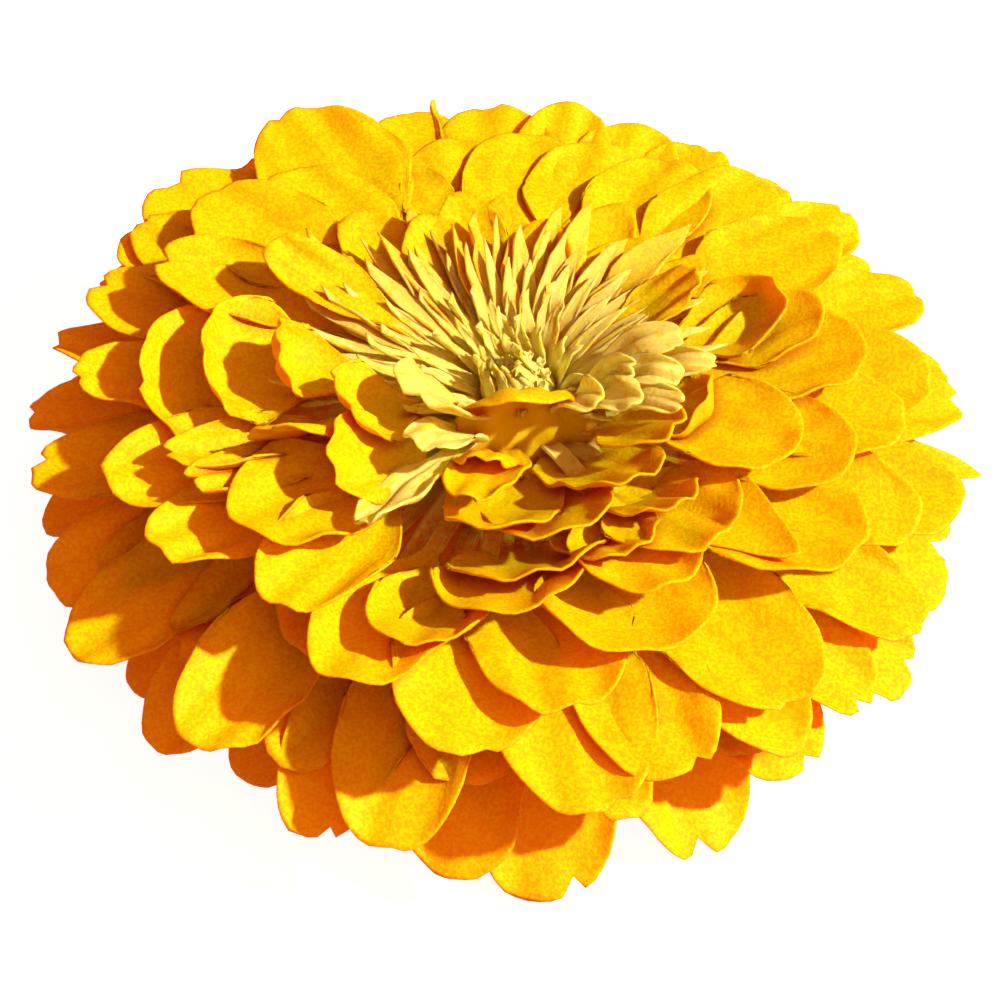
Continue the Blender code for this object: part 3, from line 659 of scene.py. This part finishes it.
def turned_part(profile, sides):
    """A surface turned about the head's axis from (radius, height) pairs, closed at both ends."""
    spokes = direction(360.0 * np.arange(sides) / sides)
    middles = [np.array([lean(height), 0.0, height]) for radius, height in profile]
    rings = [nod(spokes * radius + middle) for (radius, height), middle in zip(profile, middles)]
    points = np.concatenate(rings + [nod(middles[0])[None, :], nod(middles[-1])[None, :]])
    k = np.arange(sides)
    after = (k + 1) % sides
    faces = []
    for ring in range(len(profile) - 1):
        a, b = ring * sides + k, ring * sides + after
        faces.append(np.stack([a, b, b + sides, a + sides], axis=-1))
    last = (len(profile) - 1) * sides
    low, high = len(points) - 2, len(points) - 1
    caps = np.concatenate([np.stack([after, k, np.full(sides, low)], axis=-1),
                           np.stack([last + k, last + after, np.full(sides, high)], axis=-1)])
    return points, np.concatenate(faces).tolist() + caps.tolist()


def make_petals(material):
    """The ray florets in their layers, a piece for each."""
    draw = random.Random(SEED)
    layers = (
        ("skirt_petals", SKIRT, FINE_GRID), ("ring_petals", RING, FINE_GRID),
        ("back_petals", BACK_RIM, FINE_GRID), ("shoulder_petals", SHOULDER, FINE_GRID),
        ("inner_petals", INNER, FINE_GRID), ("under_petals", row_petals(UNDER_ROWS, draw), PLAIN_GRID),
        ("claw_petals", row_petals(CLAW_ROWS, draw), PLAIN_GRID),
    )
    for name, petals, grid in layers:
        parts = [blade_part(varied(petal, draw), grid, draw) for petal in petals]
        dressed(joined_piece(name, parts, material), "petals")


def make_receptacle(material):
    """The cone that the florets grow from."""
    points, faces = turned_part(CONE_PROFILE, CONE_SIDES)
    values = even(points, along=0.6, across=0.0, reverse=0.0, tone=0.5, pale=0.0)
    dressed(joined_piece("receptacle", [(points, faces, values)], material), "petals")


def bract_part(row, azimuth, draw):
    """One rounded bract that lies along the bowl, stands clear at its tip and has a fringed edge."""
    rows, columns = BRACT_GRID
    v = np.sin(np.linspace(-1.0, 1.0, columns) * math.pi / 2.0)
    across = np.repeat(v[None, :], rows, axis=0)
    ends = 1.0 - BRACT_ROUND * (1.0 - np.sqrt(np.maximum(0.0, 1.0 - np.abs(v) ** 2.2)))
    ends += 0.02 * np.sin(9.0 * v + draw.uniform(0.0, 6.3))
    along = np.linspace(0.0, 1.0, rows)[:, None] * ends[None, :]
    start = np.array([row.start_radius, row.start_height])
    rise = np.array([row.end_radius, row.end_height]) - start
    outward = np.array([rise[1], -rise[0]]) / np.linalg.norm(rise)
    stand = BRACT_STAND * (0.7 + 0.5 * along) - 0.25 * MM * across**2 + 0.12 * MM * np.exp(-(across / 0.15) ** 2)
    radius = start[0] + rise[0] * along
    turn = np.degrees(across * row.width / 2.0 / radius)
    middle = direction(azimuth + turn) * (radius + outward[0] * stand)[..., None]
    middle[..., 2] = start[1] + rise[1] * along + outward[1] * stand
    points = nod(thick_sheet(middle, BRACT_THICKNESS, RIM_THICKNESS))
    edge = np.maximum(np.abs(across) ** 3, (along / ends[None, :]) ** 6)
    values = {"along": np.tile(along.ravel(), 2), "across": np.tile(across.ravel(), 2), "edge": np.tile(edge.ravel(), 2)}
    return points, sheet_faces(rows, columns), values


def cut_flat(piece):
    """Cut a piece off at the surface that it rests on."""
    mesh = bmesh.new()
    mesh.from_mesh(piece.data)
    everything = list(mesh.verts) + list(mesh.edges) + list(mesh.faces)
    cut = bmesh.ops.bisect_plane(mesh, geom=everything, plane_co=(0.0, 0.0, 0.0), plane_no=(0.0, 0.0, 1.0),
                                 clear_inner=True)
    rim = [part for part in cut["geom_cut"] if isinstance(part, bmesh.types.BMEdge)]
    bmesh.ops.contextual_create(mesh, geom=rim)
    mesh.to_mesh(piece.data)
    mesh.free()


def make_calyx():
    """The involucre: the bowl, cut off flush below, and the overlapping bracts on it."""
    draw = random.Random(SEED + 1)
    material = bract_material()
    points, faces = turned_part(BOWL_PROFILE, BOWL_SIDES)
    bowl = joined_piece("calyx_bowl", [(points, faces, even(points, along=0.2, across=0.0, edge=0.0))], material)
    cut_flat(bowl)
    dressed(bowl, "calyx")
    parts = []
    for row in BRACT_ROWS:
        for k in range(row.count):
            parts.append(bract_part(row, 360.0 * (k + row.turn) / row.count, draw))
    dressed(joined_piece("bracts", parts, material), "calyx")


def floret_part(azimuth, distance, height):
    """One tubular disc floret that leans outward and opens in five teeth."""
    base = direction(azimuth) * distance
    base[2] = DISC_BASE + DISC_THICKNESS * 0.6
    base[0] += lean(base[2])
    axis = direction(azimuth, 90.0 - FLORET_LEAN * distance / DISC_RADIUS)
    side = direction(azimuth + 90.0)
    front = np.cross(side, axis)
    angles = 2.0 * math.pi * np.arange(FLORET_SIDES) / FLORET_SIDES
    spokes = front * np.cos(angles)[:, None] + side * np.sin(angles)[:, None]
    teeth = (0.5 + 0.5 * np.cos(FLORET_TEETH * angles))[:, None]
    stages = ((0.0, 1.0, 0.0), (0.45, 1.0, 0.0), (0.75, 1.5, 0.0), (0.88, 1.85, 0.12),
              (0.88, 1.6, 0.11), (0.75, 1.2, 0.0), (0.5, 0.7, 0.0))
    rings = [base + axis * height * (share + tooth * teeth) + spokes * FLORET_BASE_RADIUS * wide
             for share, wide, tooth in stages]
    points = nod(np.concatenate(rings))
    k = np.arange(FLORET_SIDES)
    after = (k + 1) % FLORET_SIDES
    faces = []
    for ring in range(len(stages) - 1):
        a, b = ring * FLORET_SIDES + k, ring * FLORET_SIDES + after
        faces += np.stack([a, b, b + FLORET_SIDES, a + FLORET_SIDES], axis=-1).tolist()
    last = (len(stages) - 1) * FLORET_SIDES
    faces += [k[::-1].tolist(), (last + k).tolist()]
    return points, faces, even(points, along=0.5)


def make_centre():
    """The disc florets on their pad."""
    material = floret_material()
    points, faces = turned_part(((DISC_RADIUS, DISC_BASE), (DISC_RADIUS, DISC_BASE + DISC_THICKNESS)), DISC_SIDES)
    parts = [(points, faces, even(points, along=0.0))]
    for count, distance, height in FLORET_RINGS:
        for k in range(count):
            parts.append(floret_part(360.0 * k / count, distance, height))
    dressed(joined_piece("disc_florets", parts, material), "centre")


# The camera: how high it stands, how far off it is, and how large the head comes out
CAMERA_ELEVATION = 47.0
CAMERA_DISTANCE = 330.0 * MM
PICTURE_SIZE = 1000.0
PIXELS_PER_METRE = 8570.0
RING_CENTRE_PIXEL = (499.0, 440.0)
SENSOR_WIDTH = 36.0


def make_camera():
    """A camera at the photograph's angle, aimed so that the widest ring's centre lands on its pixel."""
    e = math.radians(CAMERA_ELEVATION)
    back = Vector((0.0, -math.cos(e), math.sin(e)))
    right = Vector((1.0, 0.0, 0.0))
    up = back.cross(right)
    shift_right = (RING_CENTRE_PIXEL[0] - PICTURE_SIZE / 2.0) / PIXELS_PER_METRE
    shift_down = (RING_CENTRE_PIXEL[1] - PICTURE_SIZE / 2.0) / PIXELS_PER_METRE
    aim = Vector((0.0, 0.0, RING_HEIGHT)) + up * shift_down - right * shift_right
    place = aim + back * CAMERA_DISTANCE
    data = bpy.data.cameras.new("camera")
    data.sensor_width = SENSOR_WIDTH
    data.lens = SENSOR_WIDTH * PIXELS_PER_METRE * CAMERA_DISTANCE / PICTURE_SIZE
    data.clip_start = 0.01
    camera = bpy.data.objects.new("camera", data)
    bpy.context.scene.collection.objects.link(camera)
    camera.matrix_world = Matrix((
        (right.x, up.x, back.x, place.x), (right.y, up.y, back.y, place.y),
        (right.z, up.z, back.z, place.z), (0.0, 0.0, 0.0, 1.0)))
    bpy.context.scene.camera = camera


# The lights: a small bright key from the right, and a pale room round it
KEY_AZIMUTH = -12.0
KEY_ELEVATION = 42.0
KEY_STRENGTH = 6.9
KEY_COLOUR = (1.0, 0.99, 0.73)
KEY_SPREAD = 2.5
FILL_AZIMUTH = -50.0
FILL_ELEVATION = 45.0
FILL_STRENGTH = 1.4
FILL_COLOUR = (1.0, 0.45, 0.2)
FILL_SPREAD = 60.0
ROOM_STRENGTH = 0.43
ROOM_COLOUR = (1.0, 0.33, 0.28, 1.0)


def far_light(name, azimuth, elevation, strength, tint, spread):
    """A far light from one direction; the wider its spread, the softer its shadows."""
    data = bpy.data.lights.new(name, "SUN")
    data.energy = strength
    data.color = tint
    data.angle = math.radians(spread)
    light = bpy.data.objects.new(name, data)
    bpy.context.scene.collection.objects.link(light)
    towards = Vector(direction(azimuth, elevation).tolist())
    light.rotation_euler = towards.to_track_quat("Z", "Y").to_euler()


def make_lights():
    """The key light, a soft fill beside it and the room's even glow."""
    far_light("key", KEY_AZIMUTH, KEY_ELEVATION, KEY_STRENGTH, KEY_COLOUR, KEY_SPREAD)
    far_light("fill", FILL_AZIMUTH, FILL_ELEVATION, FILL_STRENGTH, FILL_COLOUR, FILL_SPREAD)
    world = bpy.data.worlds.new("room")
    world.use_nodes = True
    glow = world.node_tree.nodes["Background"]
    glow.inputs["Color"].default_value = ROOM_COLOUR
    glow.inputs["Strength"].default_value = ROOM_STRENGTH
    bpy.context.scene.world = world
    bpy.context.scene.view_settings.view_transform = "Standard"


FLOOR_SIZE = 12.0


def make_floor():
    """A plain floor, which isn't part of the head."""
    half = FLOOR_SIZE / 2.0
    mesh = bpy.data.meshes.new("floor")
    mesh.from_pydata([(-half, -half, 0.0), (half, -half, 0.0), (half, half, 0.0), (-half, half, 0.0)], [],
                     [(0, 1, 2, 3)])
    mesh.materials.append(floor_material())
    floor = bpy.data.objects.new("floor", mesh)
    bpy.context.scene.collection.objects.link(floor)
    floor.visible_diffuse = False


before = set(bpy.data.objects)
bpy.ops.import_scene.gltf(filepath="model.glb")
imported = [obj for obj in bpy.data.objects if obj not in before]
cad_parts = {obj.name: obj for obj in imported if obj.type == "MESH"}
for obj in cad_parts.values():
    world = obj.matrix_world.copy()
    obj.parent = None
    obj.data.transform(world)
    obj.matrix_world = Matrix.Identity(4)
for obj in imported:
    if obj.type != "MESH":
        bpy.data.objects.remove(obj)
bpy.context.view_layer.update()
petal_skin = petal_material()
make_petals(petal_skin)
make_receptacle(petal_skin)
make_calyx()
make_centre()
make_floor()
make_lights()
make_camera()
